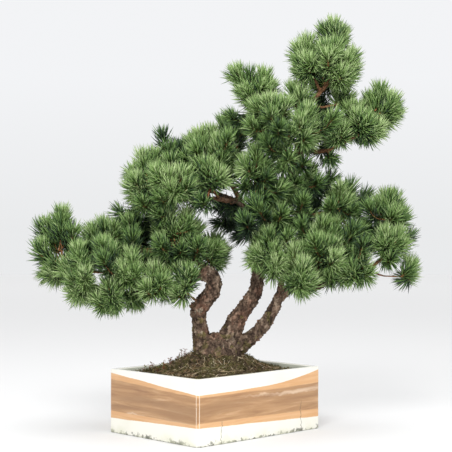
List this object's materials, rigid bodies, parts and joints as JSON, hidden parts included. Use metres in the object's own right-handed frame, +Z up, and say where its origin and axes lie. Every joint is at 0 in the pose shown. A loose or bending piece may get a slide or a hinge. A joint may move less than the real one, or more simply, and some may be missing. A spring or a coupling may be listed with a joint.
{
  "type": "bonsai tree in a pot",
  "caption": "Multi-stemmed mountain pine bonsai with tufted needle pads, in a deep rectangular glazed pot with soil.",
  "frame": {"origin": "centre of the pot's underside", "axes": "+Z up along the stems; -Y towards the tree's display side; +X to the right as seen from the display side"},
  "size_m": [0.7865, 0.4176, 0.84],
  "materials": {
    "glaze": "gloss glaze, cream over a caramel band",
    "net_plastic": "matte",
    "soil": "damp, crumbly, with moss",
    "bark": "scaly bark",
    "needles": "soft living needles"
  },
  "bodies": {
    "root": {"drainage_net_left": "net_plastic", "drainage_net_right": "net_plastic", "needles_apex": "needles", "needles_apex_back": "needles", "needles_apex_front": "needles", "needles_apex_left": "needles", "needles_apex_right": "needles", "needles_arm_back": "needles", "needles_arm_inner": "needles", "needles_arm_middle": "needles", "needles_arm_root": "needles", "needles_arm_tip": "needles", "needles_low_back_inner": "needles", "needles_low_back_middle": "needles", "needles_low_back_outer": "needles", "needles_low_crown": "needles", "needles_low_front": "needles", "needles_low_hanging": "needles", "needles_low_inner": "needles", "needles_low_middle": "needles", "needles_low_shadow": "needles", "needles_low_tip": "needles", "needles_low_trunk_side": "needles", "needles_low_trunk_top": "needles", "needles_low_upper": "needles", "needles_middle_back_crown": "needles", "needles_middle_back_inner": "needles", "needles_middle_back_outer": "needles", "needles_middle_crown": "needles", "needles_middle_front": "needles", "needles_middle_inner": "needles", "needles_middle_shadow": "needles", "needles_middle_tip": "needles", "needles_middle_trunk_side": "needles", "needles_right_back": "needles", "needles_right_back_tip": "needles", "needles_right_centre": "needles", "needles_right_centre_front": "needles", "needles_right_end_crown": "needles", "needles_right_end_front": "needles", "needles_right_front": "needles", "needles_right_inner": "needles", "needles_right_inner_crown": "needles", "needles_right_low": "needles", "needles_right_small_shadow": "needles", "needles_right_small_upper": "needles", "needles_right_sprig": "needles", "needles_right_trunk_crown": "needles", "needles_right_upper_tip": "needles", "needles_top_back": "needles", "needles_top_front": "needles", "needles_top_front_low": "needles", "needles_top_front_outer": "needles", "needles_top_left_tip": "needles", "needles_top_peak": "needles", "needles_top_shadow": "needles", "pot": "glaze", "soil": "soil", "wood": "bark"}
  },
  "joints": []
}
